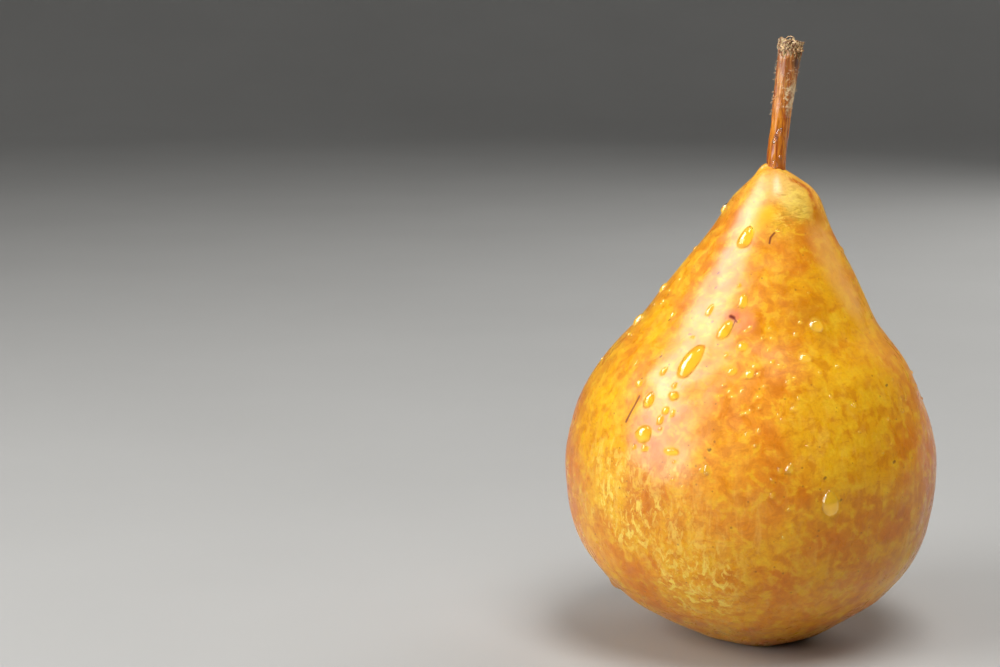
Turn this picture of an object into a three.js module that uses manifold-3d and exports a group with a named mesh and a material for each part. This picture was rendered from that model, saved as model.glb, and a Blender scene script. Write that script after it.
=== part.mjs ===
// A ripe yellow pear standing on its base, wet with drops of water.
// It has three pieces: the fruit, its woody stem, and the dried flower end in the hollow underneath.
// Sizes are in millimetres and +Z is up. The front, with the large drops, faces -Y.
// The origin is on the resting plane, under the middle of the belly.

import * as THREE from 'three';
import { mergeVertices } from 'three/addons/utils/BufferGeometryUtils.js';
import Module from 'manifold-3d';

const wasm = await Module();
wasm.setup();

// Driving sizes of the fruit
const BELLY_RADIUS = 38.1;
const BELLY_HEIGHT = 34.6;
const CROWN_HEIGHT = 98.8;
const BASIN_DEPTH = 5.2;
const RIM_RADIUS = 8.1;
const RIM_BELOW_GROUND = 0.4;
const SECTION_SIDES = 48;
const OUTLINE_STEPS_PER_SPAN = 3;

// The outline as [radius, height], from the flower basin over the resting rim, the belly and the neck
const OUTLINE = [
  [0, BASIN_DEPTH],
  [3.4, BASIN_DEPTH - 0.3],
  [5.2, 3.2],
  [RIM_RADIUS - 1.7, 0.6],
  [RIM_RADIUS, -RIM_BELOW_GROUND],
  [10.9, 0.5],
  [16.7, 3.5],
  [27.6, 10.9],
  [35.4, 21],
  [BELLY_RADIUS, BELLY_HEIGHT],
  [36.6, 46.3],
  [31.6, 58],
  [24.4, 67],
  [17.9, 77],
  [12.2, 85.5],
  [8.8, 92.2],
  [4.8, 96.6],
  [2.2, CROWN_HEIGHT - 0.4],
  [0, CROWN_HEIGHT],
];
const RIM_POINT = 4;

// How far the middle of each level stands off the belly's own axis
const NECK_LEAN = { x: 4.2, y: 1, from: 52, to: 92, power: 1.2 };
const FOOT_LEAN = { x: 1.8, to: 20, power: 1.5 };

// Gentle unevenness of the section, as shares of the radius, each strongest at one height
const OVAL = { share: 0.008, sides: 2, turn: 0.7, middle: 46, reach: 30 };
const SHOULDER = { share: 0.012, sides: 3, turn: 2.3, middle: 70, reach: 20 };
const LOBES = { share: 0.022, sides: 5, turn: 0.9, middle: 4, reach: 14 };
const LOBE_RISE = { height: 0.3, reach: 3 };
// How the crown stands off its plain outline: the fleshy lip beside the stem, the hollow under the lip,
// the fall on the stem's other side and the full shoulder below it
const CROWN_FORMS = [
  { rise: 0.8, x: -2.5, reach: 1.5 },
  { rise: -1.1, x: -5.6, reach: 1.9 },
  { rise: -0.8, x: 3.2, reach: 3.6 },
  { rise: 0.5, x: 7.5, reach: 2.4 },
];

// The stem, its socket in the crown, and its rough end where it broke off the twig
const STEM_TOP = 124.6;
const STEM_RADIUS = 2;
const STEM_ROOT = CROWN_HEIGHT - 6;
const KNOB_RADIUS = 2.85;
const KNOB_FROM = 121.7;
const SOCKET_GAP = 0.3;
const SOCKET_REACH = 6;
const STEM_SIDES = 18;
const STEM_STEPS_PER_SPAN = 2;
const STEM_TILT = { x: 2.55, y: 0.4, power: 1.25 };
const RIDGES = { share: 0.05, sides: 7, turn: 0.4 };
const ROUGH_END = { depth: 0.18, slant: 0.22 };

// The stem's outline as [radius, height]
const STEM_OUTLINE = [
  [0, STEM_ROOT],
  [STEM_RADIUS - 0.15, STEM_ROOT],
  [STEM_RADIUS, STEM_ROOT + 2],
  [STEM_RADIUS, 106],
  [2.15, 112],
  [2.3, 118],
  [2.4, 120.4],
  [KNOB_RADIUS - 0.2, KNOB_FROM],
  [KNOB_RADIUS, STEM_TOP - 1.2],
  [2.4, STEM_TOP],
  [1.1, STEM_TOP - 0.6],
  [0, STEM_TOP - 0.4],
];

// The dried flower end: a short tube with its sepals and the withered styles in its mouth
const CALYX = { tubeRadius: 2.1, boreRadius: 1.25, root: 8.4, roof: 6.8, mouth: 3.1, sides: 20 };
const SEPALS = {
  count: 5,
  turn: 0.3,
  length: 3,
  halfWidth: 1.25,
  halfThickness: 0.42,
  sink: 0.7,
  droop: 0.9,
  taper: 0.65,
  sides: 8,
};
const STYLES = { count: 5, ring: 0.75, radius: 0.34, tipRadius: 0.3, tip: 2.2, sides: 6 };

// Where the front view is taken from, which fixes the places of the drops below
const FRONT_VIEW = { distance: 500, elevation: 13 };
// Drops of water on the front, as [across, up, wide, long, turn in degrees].
// Across and up are measured from the middle of the belly in the front view, and the turn leans a drop right.
const FRONT_DROPS = [
  [-12.8, 22.8, 3.7, 8.2, 12],
  [-1.7, 49, 3, 5.2, 8],
  [-5.7, 29.6, 2.5, 4.6, 15],
  [-2.1, 26.2, 2.4, 2.5, -20],
  [-4.2, 21.1, 2.2, 1.9, 0],
  [-0.6, 20.6, 2.1, 2.3, 0],
  [-9, 33.7, 1.3, 2.9, 6],
  [-2.1, 35.7, 2.1, 3.3, -8],
  [-21.3, 14.4, 2.3, 3.4, 8],
  [-23.4, 17.9, 1.8, 1.8, 0],
  [-18.3, 20.4, 1.3, 2, 10],
  [-16.2, 15.5, 2.3, 2, 0],
  [-17.8, 12.4, 1.6, 1.8, 0],
  [-19, 10.4, 1.3, 2, 0],
  [-22.3, 7.4, 3.8, 3.8, 20],
  [-22.1, 4.4, 1.5, 1.5, 0],
  [-16.5, 4, 3.2, 1.6, 0],
  [-9.1, 0.2, 1.3, 2.1, 0],
  [13.2, 31, 3, 3.3, 0],
  [11, 24.1, 2.5, 2.4, 0],
  [8.2, 0.8, 1.6, 1.8, 0],
  [16.8, -6.2, 3.8, 5.2, 0],
];
// Drops that hang on the left edge of the front view, as [angle in degrees, height, wide, long]
const EDGE_DROPS = [
  [186, 89.8, 1.8, 2.4],
  [187, 73.4, 2, 2.6],
  [184, 66.8, 2.2, 3.4],
  [190, 11.6, 3.6, 4.2],
];
// Drops on the sides and the back, drawn with a fixed seed
const BACK_DROPS = {
  count: 20,
  seed: 7,
  angle: [15, 165],
  height: [44, 84],
  wide: [1.8, 3.2],
  stretch: [1, 1.6],
  turn: [-25, 25],
};
const DROP_RISE = 0.3;
const DROP_SIDES = 8;
const DROP_RINGS = 4;

const skinMaterial = new THREE.MeshStandardMaterial({ color: 0xe8a832, roughness: 0.38, metalness: 0 });
const stemMaterial = new THREE.MeshStandardMaterial({ color: 0xa4692f, roughness: 0.6, metalness: 0 });
const calyxMaterial = new THREE.MeshStandardMaterial({ color: 0x4a3524, roughness: 0.9, metalness: 0 });

const radians = THREE.MathUtils.degToRad;
// Halvings of a span that bring a place on the skin to well under a micrometre
const HALVINGS = 30;

// A closed geometry as a solid, with its shared vertices merged
function solidOf(geometry) {
  geometry.deleteAttribute('normal');
  geometry.deleteAttribute('uv');
  const merged = mergeVertices(geometry);
  return new wasm.Manifold(new wasm.Mesh({
    numProp: 3,
    vertProperties: merged.getAttribute('position').array,
    triVerts: merged.index.array,
  }));
}

function meshOf(solid, name, material) {
  const { vertProperties, triVerts } = solid.getMesh();
  const geometry = new THREE.BufferGeometry();
  geometry.setAttribute('position', new THREE.BufferAttribute(vertProperties, 3));
  geometry.setIndex(new THREE.BufferAttribute(triVerts, 1));
  geometry.computeVertexNormals();
  const mesh = new THREE.Mesh(geometry, material);
  mesh.name = name;
  return mesh;
}

// Moves each vertex of a geometry to where place(vertex) puts it
function reshape(geometry, place) {
  const position = geometry.getAttribute('position');
  const vertex = new THREE.Vector3();
  for (let i = 0; i < position.count; i++) {
    place(vertex.fromBufferAttribute(position, i));
    position.setXYZ(i, vertex.x, vertex.y, vertex.z);
  }
  return geometry;
}

function splineThrough(outline) {
  return new THREE.SplineCurve(outline.map(([radius, height]) => new THREE.Vector2(radius, height)));
}

// Turns an outline of [radius, height] about +Z, with its two ends on the axis
function turned(outline, stepsPerSpan, sides) {
  const steps = stepsPerSpan * (outline.length - 1);
  const points = splineThrough(outline).getPoints(steps);
  points[0].x = 0;
  points[steps].x = 0;
  return new THREE.LatheGeometry(points, sides).rotateX(Math.PI / 2);
}

// A part of the radius that comes and goes round the section and fades with height
function wave({ share, sides, turn, middle, reach }, angle, height) {
  return share * Math.cos(sides * angle + turn) * Math.exp(-(((height - middle) / reach) ** 2));
}

function sectionShare(angle, height) {
  return 1 + wave(OVAL, angle, height) + wave(SHOULDER, angle, height) + wave(LOBES, angle, height);
}

// The middle of the fruit's section at a height
function sectionMiddle(height) {
  const { x, y, from, to, power } = NECK_LEAN;
  const neck = THREE.MathUtils.clamp((height - from) / (to - from), 0, 1) ** power;
  const foot = Math.max((FOOT_LEAN.to - height) / FOOT_LEAN.to, 0) ** FOOT_LEAN.power;
  return new THREE.Vector2(neck * x + foot * FOOT_LEAN.x, neck * y);
}

// How far the resting rim rises between its lobes
function rimRise(angle, radius) {
  const nearRim = Math.exp(-(((radius - RIM_RADIUS) / LOBE_RISE.reach) ** 2));
  return (LOBE_RISE.height * nearRim * (1 - Math.cos(LOBES.sides * angle + LOBES.turn))) / 2;
}

// How far the crown stands off the plain outline
function crownRise(x, y) {
  return CROWN_FORMS.reduce(
    (total, form) => total + form.rise * Math.exp(-((Math.hypot(x - form.x, y) / form.reach) ** 2)),
    0,
  );
}

// From the plain turned outline to the fruit's own uneven shape
function placeOnFruit(vertex) {
  const angle = Math.atan2(vertex.y, vertex.x);
  const radius = Math.hypot(vertex.x, vertex.y);
  const middle = sectionMiddle(vertex.z);
  const share = sectionShare(angle, vertex.z);
  vertex.z += vertex.z < BASIN_DEPTH + 1 ? rimRise(angle, radius) : crownRise(vertex.x, vertex.y);
  vertex.x = middle.x + radius * share * Math.cos(angle);
  vertex.y = middle.y + radius * share * Math.sin(angle);
}

// The radius of the plain outline at a height, above the resting rim
const outlineCurve = splineThrough(OUTLINE);
function outlineRadius(height) {
  let low = RIM_POINT / (OUTLINE.length - 1);
  let high = 1;
  for (let i = 0; i < HALVINGS; i++) {
    const half = (low + high) / 2;
    if (outlineCurve.getPoint(half).y < height) {
      low = half;
    } else {
      high = half;
    }
  }
  return outlineCurve.getPoint(low).x;
}

function skinPoint(angle, height) {
  const middle = sectionMiddle(height);
  const radius = outlineRadius(height) * sectionShare(angle, height);
  return new THREE.Vector3(middle.x + radius * Math.cos(angle), middle.y + radius * Math.sin(angle), height);
}

// The angle about the section's middle, and how far a point is inside the skin there
function underSkin(point) {
  const middle = sectionMiddle(point.z);
  const angle = Math.atan2(point.y - middle.y, point.x - middle.x);
  const radius = Math.hypot(point.x - middle.x, point.y - middle.y);
  return { angle, depth: outlineRadius(point.z) * sectionShare(angle, point.z) - radius };
}

// Where the line of sight through a place in the front view meets the skin, as [angle, height]
function seenFromFront(across, up) {
  const elevation = radians(FRONT_VIEW.elevation);
  const belly = new THREE.Vector3(0, 0, BELLY_HEIGHT);
  const towardsEye = new THREE.Vector3(0, -Math.cos(elevation), Math.sin(elevation));
  const upInView = new THREE.Vector3(0, Math.sin(elevation), Math.cos(elevation));
  const eye = belly.clone().addScaledVector(towardsEye, FRONT_VIEW.distance);
  const place = belly.clone().addScaledVector(upInView, up);
  place.x += across;
  const sight = place.clone().sub(eye).normalize();
  let outside = eye.distanceTo(place) - 2 * BELLY_RADIUS;
  let inside = eye.distanceTo(place);
  for (let i = 0; i < HALVINGS; i++) {
    const half = (outside + inside) / 2;
    if (underSkin(eye.clone().addScaledVector(sight, half)).depth < 0) {
      outside = half;
    } else {
      inside = half;
    }
  }
  const met = eye.clone().addScaledVector(sight, inside);
  return [underSkin(met).angle, met.z];
}

// A drop of water as a low dome with its lower half sunk in the skin
function dropSolid(angle, height, wide, long, turn) {
  const turnStep = 0.01;
  const round = skinPoint(angle + turnStep, height).sub(skinPoint(angle - turnStep, height)).normalize();
  const up = skinPoint(angle, height + 1).sub(skinPoint(angle, height - 1)).normalize();
  const out = new THREE.Vector3().crossVectors(round, up).normalize();
  const along = up.applyAxisAngle(out, -radians(turn));
  const side = new THREE.Vector3().crossVectors(along, out);
  const dome = new THREE.SphereGeometry(1, DROP_SIDES, DROP_RINGS).rotateX(Math.PI / 2);
  dome.scale(wide / 2, long / 2, DROP_RISE * wide);
  dome.applyMatrix4(new THREE.Matrix4().makeBasis(side, along, out).setPosition(skinPoint(angle, height)));
  return solidOf(dome);
}

// A repeatable random number between two bounds at each call, by Lehmer's rule
const LEHMER = { factor: 16807, modulus: 2 ** 31 - 1 };
function seededDraw(seed) {
  let state = seed;
  return ([least, most]) => {
    state = (state * LEHMER.factor) % LEHMER.modulus;
    return least + ((most - least) * state) / LEHMER.modulus;
  };
}

function frontDrops() {
  return FRONT_DROPS.map(([across, up, wide, long, turn]) => {
    const [angle, height] = seenFromFront(across, up);
    return dropSolid(angle, height, wide, long, turn);
  });
}

function edgeDrops() {
  return EDGE_DROPS.map(([angle, height, wide, long]) => dropSolid(radians(angle), height, wide, long, 0));
}

function backDrops() {
  const draw = seededDraw(BACK_DROPS.seed);
  return Array.from({ length: BACK_DROPS.count }, () => {
    const angle = radians(draw(BACK_DROPS.angle));
    const height = draw(BACK_DROPS.height);
    const wide = draw(BACK_DROPS.wide);
    const long = wide * draw(BACK_DROPS.stretch);
    return dropSolid(angle, height, wide, long, draw(BACK_DROPS.turn));
  });
}

// The line of the stem: it leaves the crown and leans the way the neck does
function stemMiddle(height) {
  const crown = sectionMiddle(NECK_LEAN.to);
  const share = Math.max((height - CROWN_HEIGHT) / (STEM_TOP - CROWN_HEIGHT), 0) ** STEM_TILT.power;
  return new THREE.Vector2(crown.x + share * STEM_TILT.x, crown.y + share * STEM_TILT.y);
}

function placeOnStem(vertex) {
  const angle = Math.atan2(vertex.y, vertex.x);
  const radius = Math.hypot(vertex.x, vertex.y);
  const middle = stemMiddle(vertex.z);
  const above = THREE.MathUtils.clamp((vertex.z - CROWN_HEIGHT) / (STEM_TOP - CROWN_HEIGHT), 0, 1);
  const share = 1 + RIDGES.share * above * Math.cos(RIDGES.sides * angle + RIDGES.turn);
  if (vertex.z > KNOB_FROM) {
    const rough = Math.sin(5 * angle + 3 * radius) + Math.sin(3 * angle - 4 * radius);
    vertex.z += ROUGH_END.depth * rough - ROUGH_END.slant * vertex.x;
  }
  vertex.x = middle.x + radius * share * Math.cos(angle);
  vertex.y = middle.y + radius * share * Math.sin(angle);
}

function stemSolid() {
  return solidOf(reshape(turned(STEM_OUTLINE, STEM_STEPS_PER_SPAN, STEM_SIDES), placeOnStem));
}

// A round hole from one height up to another
function holeSolid(radius, low, high, sides, middle) {
  const hole = new THREE.CylinderGeometry(radius, radius, high - low, sides).rotateX(Math.PI / 2);
  hole.translate(middle.x, middle.y, (low + high) / 2);
  return solidOf(hole);
}

// The plain hole in the crown that the stem's root stands in
function stemSocket() {
  const radius = STEM_RADIUS + SOCKET_GAP;
  const high = CROWN_HEIGHT + SOCKET_REACH;
  return holeSolid(radius, STEM_ROOT - SOCKET_GAP, high, STEM_SIDES, stemMiddle(CROWN_HEIGHT));
}

// The plain hole in the roof of the flower basin that the calyx tube stands in
function calyxSocket() {
  const radius = CALYX.tubeRadius + SOCKET_GAP;
  return holeSolid(radius, 0, CALYX.root + SOCKET_GAP, CALYX.sides, sectionMiddle(CALYX.mouth));
}

// Everything below the resting plane, which cuts the rim to a flat spot
function groundSolid() {
  const thickness = 4 * RIM_BELOW_GROUND;
  const slab = new THREE.BoxGeometry(2 * BELLY_RADIUS, 2 * BELLY_RADIUS, thickness);
  slab.translate(0, 0, -thickness / 2);
  return solidOf(slab);
}

function fruitSolid() {
  let solid = solidOf(reshape(turned(OUTLINE, OUTLINE_STEPS_PER_SPAN, SECTION_SIDES), placeOnFruit));
  for (const drop of [...frontDrops(), ...edgeDrops(), ...backDrops()]) {
    solid = solid.add(drop);
  }
  return solid.subtract(stemSocket()).subtract(calyxSocket()).subtract(groundSolid());
}

// A sepal is a narrowing blade that leaves the tube's mouth and droops to its tip
function sepalSolid(angle) {
  const blade = new THREE.SphereGeometry(1, SEPALS.sides, SEPALS.sides).rotateX(Math.PI / 2);
  reshape(blade, (vertex) => {
    const along = (vertex.y + 1) / 2;
    vertex.x *= SEPALS.halfWidth * (1 - SEPALS.taper * along);
    vertex.y = CALYX.tubeRadius - SEPALS.sink + along * SEPALS.length;
    vertex.z = vertex.z * SEPALS.halfThickness - SEPALS.droop * along ** 2;
  });
  blade.rotateZ(angle - Math.PI / 2);
  blade.translate(0, 0, CALYX.mouth + SEPALS.halfThickness);
  return solidOf(blade);
}

// A withered style stands in the tube and reaches down out of its mouth
function styleSolid(angle) {
  const { radius, tipRadius, tip, ring, sides } = STYLES;
  const length = CALYX.root - tip - SOCKET_GAP;
  const rod = new THREE.CylinderGeometry(radius, tipRadius, length, sides).rotateX(Math.PI / 2);
  rod.translate(ring * Math.cos(angle), ring * Math.sin(angle), tip + length / 2);
  return solidOf(rod);
}

function calyxTube() {
  const { tubeRadius, boreRadius, root, roof, mouth, sides } = CALYX;
  const outline = [
    [0, roof],
    [boreRadius, roof],
    [boreRadius, mouth],
    [tubeRadius, mouth],
    [tubeRadius, root],
    [0, root],
  ];
  const points = outline.map(([radius, height]) => new THREE.Vector2(radius, height));
  return solidOf(new THREE.LatheGeometry(points, sides).rotateX(Math.PI / 2));
}

function calyxSolid() {
  let solid = calyxTube();
  for (let i = 0; i < SEPALS.count; i++) {
    solid = solid.add(sepalSolid(SEPALS.turn + (i / SEPALS.count) * 2 * Math.PI));
  }
  for (let i = 0; i < STYLES.count; i++) {
    solid = solid.add(styleSolid((i / STYLES.count) * 2 * Math.PI));
  }
  const middle = sectionMiddle(CALYX.mouth);
  return solid.translate([middle.x, middle.y, 0]);
}

const pear = new THREE.Group();
pear.add(meshOf(fruitSolid(), 'fruit', skinMaterial));
pear.add(meshOf(stemSolid(), 'stem', stemMaterial));
pear.add(meshOf(calyxSolid(), 'calyx', calyxMaterial));

export default pear;
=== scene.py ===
import math

import bpy
import numpy as np
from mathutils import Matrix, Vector


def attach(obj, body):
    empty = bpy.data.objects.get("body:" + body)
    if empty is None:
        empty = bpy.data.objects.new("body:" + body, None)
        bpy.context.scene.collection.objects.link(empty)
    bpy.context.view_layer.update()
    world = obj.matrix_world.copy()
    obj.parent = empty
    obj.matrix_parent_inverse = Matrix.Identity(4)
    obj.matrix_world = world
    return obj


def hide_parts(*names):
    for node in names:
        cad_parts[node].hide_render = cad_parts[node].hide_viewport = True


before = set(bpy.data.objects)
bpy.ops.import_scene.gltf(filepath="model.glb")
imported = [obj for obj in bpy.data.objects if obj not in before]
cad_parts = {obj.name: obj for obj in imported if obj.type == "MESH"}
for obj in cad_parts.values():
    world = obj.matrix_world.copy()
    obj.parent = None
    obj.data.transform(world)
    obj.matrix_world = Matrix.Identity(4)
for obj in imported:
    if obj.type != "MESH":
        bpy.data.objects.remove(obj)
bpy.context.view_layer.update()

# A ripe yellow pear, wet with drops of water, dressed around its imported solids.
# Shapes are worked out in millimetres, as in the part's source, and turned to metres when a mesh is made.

MM = 0.001

# The fruit's outline as [radius, height], and how its sections lean and swell, as in the part's source
BELLY_RADIUS = 38.1
BELLY_HEIGHT = 34.6
CROWN_HEIGHT = 98.8
BASIN_DEPTH = 5.2
RIM_RADIUS = 8.1
RIM_BELOW_GROUND = 0.4
OUTLINE = [
    [0, BASIN_DEPTH],
    [3.4, BASIN_DEPTH - 0.3],
    [5.2, 3.2],
    [RIM_RADIUS - 1.7, 0.6],
    [RIM_RADIUS, -RIM_BELOW_GROUND],
    [10.9, 0.5],
    [16.7, 3.5],
    [27.6, 10.9],
    [35.4, 21],
    [BELLY_RADIUS, BELLY_HEIGHT],
    [36.6, 46.3],
    [31.6, 58],
    [24.4, 67],
    [17.9, 77],
    [12.2, 85.5],
    [8.8, 92.2],
    [4.8, 96.6],
    [2.2, CROWN_HEIGHT - 0.4],
    [0, CROWN_HEIGHT],
]
RIM_POINT = 4
NECK_LEAN = {"x": 4.2, "y": 1, "from": 52, "to": 92, "power": 1.2}
FOOT_LEAN = {"x": 1.8, "to": 20, "power": 1.5}
OVAL = {"share": 0.008, "sides": 2, "turn": 0.7, "middle": 46, "reach": 30}
SHOULDER = {"share": 0.012, "sides": 3, "turn": 2.3, "middle": 70, "reach": 20}
LOBES = {"share": 0.022, "sides": 5, "turn": 0.9, "middle": 4, "reach": 14}
LOBE_RISE = {"height": 0.3, "reach": 3}
# How the crown stands off its plain outline, as [rise, x, reach]
CROWN_FORMS = [
    [0.8, -2.5, 1.5],
    [-1.1, -5.6, 1.9],
    [-0.8, 3.2, 3.6],
    [0.5, 7.5, 2.4],
]

# The stem's outline and line, as in the part's source
STEM_TOP = 124.6
STEM_RADIUS = 2
STEM_ROOT = CROWN_HEIGHT - 6
KNOB_RADIUS = 2.85
KNOB_FROM = 121.7
STEM_TILT = {"x": 2.55, "y": 0.4, "power": 1.25}
RIDGES = {"share": 0.05, "sides": 7, "turn": 0.4}
ROUGH_END = {"depth": 0.18, "slant": 0.22}
STEM_OUTLINE = [
    [0, STEM_ROOT],
    [STEM_RADIUS - 0.15, STEM_ROOT],
    [STEM_RADIUS, STEM_ROOT + 2],
    [STEM_RADIUS, 106],
    [2.15, 112],
    [2.3, 118],
    [2.4, 120.4],
    [KNOB_RADIUS - 0.2, KNOB_FROM],
    [KNOB_RADIUS, STEM_TOP - 1.2],
    [2.4, STEM_TOP],
    [1.1, STEM_TOP - 0.6],
    [0, STEM_TOP - 0.4],
]

# The skin's smooth unevenness, as [seed, length, height], and how much of it the resting rim loses
SKIN_WAVES = [
    [1, 27, 0.14],
    [2, 10, 0.05],
    [3, 3.6, 0.014],
]
RIM_SMOOTHING = 0.7
# Shallow dents in the skin
DENTS = {"count": 70, "seed": 5, "height": (10, 90), "reach": (1.6, 4.5), "depth": (0.02, 0.08)}
# Fine folds of the skin round the stem's foot
PUCKERS = {"count": 9, "height": 0.1, "reach": 5.5, "above": (60, 90), "sway": 1.5, "twist": 0.5}

# Unevenness of the stem's wood and of its torn end, as [seed, length, height, share of it along the stem]
WOOD_WAVES = [
    [31, 1.5, 0.04, 0.2],
    [32, 0.6, 0.018, 0.25],
]
TORN_WAVES = [
    [33, 1.3, 0.17, 0.35],
    [34, 0.6, 0.1, 0.5],
]
# How far the wood and the torn end lie inside the stem's outline
WOOD_SINK = 0.08
TORN_SINK = 0.5
# Where the wood turns into the torn end
TORN_FROM = (KNOB_FROM - 1.2, KNOB_FROM + 0.3)
# Fibres on the stem's torn end, the one that curls off it, and fuzz on the stem's upper half
TORN_FIBRES = {
    "count": 84,
    "seed": 17,
    "radius": (0.16, 0.36),
    "foot": (-1.3, 0.2),
    "below_top": 1.2,
    "tip": (-0.9, 0.35),
    "ring": 2.25,
    "flare": (0.1, 0.6),
    "slant_reach": 2.6,
    "bend": 0.25,
}
CURL = {
    "points": 14,
    "turns": 1.1,
    "from_top": (-0.2, -1.2, -0.3),
    "half_width": 0.9,
    "drift": 0.3,
    "rise": 0.75,
    "radius": 0.13,
}
FUZZ = {
    "count": 170,
    "seed": 18,
    "height": (109, 121),
    "length": (0.15, 0.55),
    "radius": 0.04,
    "root": -0.15,
    "sway": 0.15,
    "drop": 0.3,
    "arch": 0.1,
}

# The dried flower end, as in the part's source, with finer forms that only this script has
CALYX = {
    "tube_radius": 2.1,
    "bore_radius": 1.25,
    "root": 8.4,
    "roof": 6.8,
    "mouth": 3.1,
    "rings": 70,
    "sides": 48,
}
FELT_WAVE = {"seed": 41, "length": 1.4, "height": 0.06}
SEPALS = {
    "count": 5,
    "turn": 0.3,
    "length": 3,
    "half_width": 1.25,
    "half_thickness": 0.42,
    "sink": 0.7,
    "droop": 0.9,
    "taper": 0.65,
    "flatness": 0.7,
    "cup": 0.35,
    "crinkle": 0.1,
    "sway": 0.12,
    "rings": 34,
    "sides": 24,
}
STYLES = {"count": 5, "ring": 0.75, "radius": 0.34, "tip": 2.2, "sunk": 0.5, "spread": 0.25}
STAMENS = {
    "count": 16,
    "seed": 12,
    "ring": 1.45,
    "radius": 0.11,
    "flare": 0.9,
    "length": (0.7, 1.6),
    "sunk": 0.4,
    "bend": 0.5,
}

# How the thickness of a strand runs along it, as shares of its radius
TORN_PROFILE = np.array([0.3, 0.9, 1, 1, 0.95, 0.9, 0.8, 0.35])
FUZZ_PROFILE = np.array([0.4, 1, 1, 0.8, 0.3])
STYLE_PROFILE = np.array([0.4, 1, 0.9, 0.7, 0.6, 0.6, 0.65, 0.7, 0.8, 0.4])
STAMEN_PROFILE = np.array([0.6, 1, 1, 1, 1, 1, 1.2, 1.8, 0.8])

# The photograph's frame and the camera's place
IMAGE_SIZE = (1000, 667)
BELLY_PIXEL = (750, 472)
PIXELS_PER_MM = 4.75
VIEW_DISTANCE = 500
VIEW_ELEVATION = math.radians(13)
SENSOR_WIDTH = 36

# The floor's flat part, the curve up to its wall and the wall's top, in metres
FLOOR = {"flat": 1.2, "curve": 0.8, "wall": 2.6, "sides": 96, "steps": 17}

# Lamps as [name, place, aim, size, radiance, ways in which it is seen], in metres
EVERY_WAY = ("diffuse", "glossy", "transmission")
GLOSS_ONLY = ("glossy",)
NO_GLOSS = ("diffuse", "transmission")
LAMPS = [
    ["key_light", (-0.63, -0.36, 0.38), (0.63, 0.36, -0.33), (0.5, 0.6), 5.9, EVERY_WAY],
    ["key_gloss", (-0.63, -0.36, 0.38), (0.63, 0.36, -0.33), (0.5, 0.6), 6, GLOSS_ONLY],
    ["sheen_light", (-0.50, -0.11, 0.67), (0.50, 0.11, -0.61), (0.45, 0.5), 12, GLOSS_ONLY],
    ["right_light", (0.17, -0.30, 0.84), (-0.17, 0.30, -0.78), (0.4, 0.4), 9.5, NO_GLOSS],
    ["top_light", (0.05, -0.06, 0.88), (-0.05, 0.06, -0.83), (0.2, 0.2), 11, EVERY_WAY],
    ["crown_gloss", (0.05, -0.06, 0.88), (-0.05, 0.06, -0.83), (0.14, 0.14), 20, GLOSS_ONLY],
    ["back_light", (0.42, 0.62, 0.42), (-0.42, -0.62, -0.36), (0.5, 0.6), 3.2, NO_GLOSS],
]
WORLD = {"colour": (0.8, 0.82, 0.85, 1), "strength": 0.1}

# How fine the meshes are, the tables that outlines are read from, and the search along a line of sight
SKIN_RINGS = 300
SKIN_SIDES = 320
STEM_RINGS = 240
STEM_SIDES = 96
STEPS_PER_RING = 20
SKIN_TABLE_POINTS = 4000
STEM_TABLE_POINTS = 400
SIGHT_HALVINGS = 30

# A drop's form: its angle with the skin, how full its lower end is, how deep its underside and its edge
# lie, and from what length to width it is drawn as an oblong one
DROP = {"contact": math.radians(64), "sag": 0.16, "sink": 0.12, "edge_sink": 0.02, "oblong": 1.4}
# How far a drop's edge swells, as (swells round it, most share)
DROP_SWELLS = ((2, 0.05), (3, 0.05), (5, 0.02))
# How fine a drop is, as (steps from its edge to its top, sides), by its width
SMALL_WIDTH = 1.2
SMALL_DROP_MESH = (8, 16)
LARGE_DROP_MESH = (14, 36)
UNDERSIDE_RINGS = 4
DROP_SEED = 3
# The wetness under a drop fades between these shares of its reach, and there is none far away
WET_EDGE = (0.75, 1.15)
FAR_AWAY = 9

# Drops of water on the front, as in the part's source: [across, up, wide, long, turn in degrees]
FRONT_DROPS = [
    [-12.8, 22.8, 3.7, 8.2, 12],
    [-1.7, 49, 3, 5.2, 8],
    [-5.7, 29.6, 2.5, 4.6, 15],
    [-2.1, 26.2, 2.4, 2.5, -20],
    [-4.2, 21.1, 2.2, 1.9, 0],
    [-0.6, 20.6, 2.1, 2.3, 0],
    [-9, 33.7, 1.3, 2.9, 6],
    [-2.1, 35.7, 2.1, 3.3, -8],
    [-21.3, 14.4, 2.3, 3.4, 8],
    [-23.4, 17.9, 1.8, 1.8, 0],
    [-18.3, 20.4, 1.3, 2, 10],
    [-16.2, 15.5, 2.3, 2, 0],
    [-17.8, 12.4, 1.6, 1.8, 0],
    [-19, 10.4, 1.3, 2, 0],
    [-22.3, 7.4, 3.8, 3.8, 20],
    [-22.1, 4.4, 1.5, 1.5, 0],
    [-16.5, 4, 3.2, 1.6, 0],
    [-9.1, 0.2, 1.3, 2.1, 0],
    [13.2, 31, 3, 3.3, 0],
    [11, 24.1, 2.5, 2.4, 0],
    [8.2, 0.8, 1.6, 1.8, 0],
    [16.8, -6.2, 3.8, 5.2, 0],
]
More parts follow.
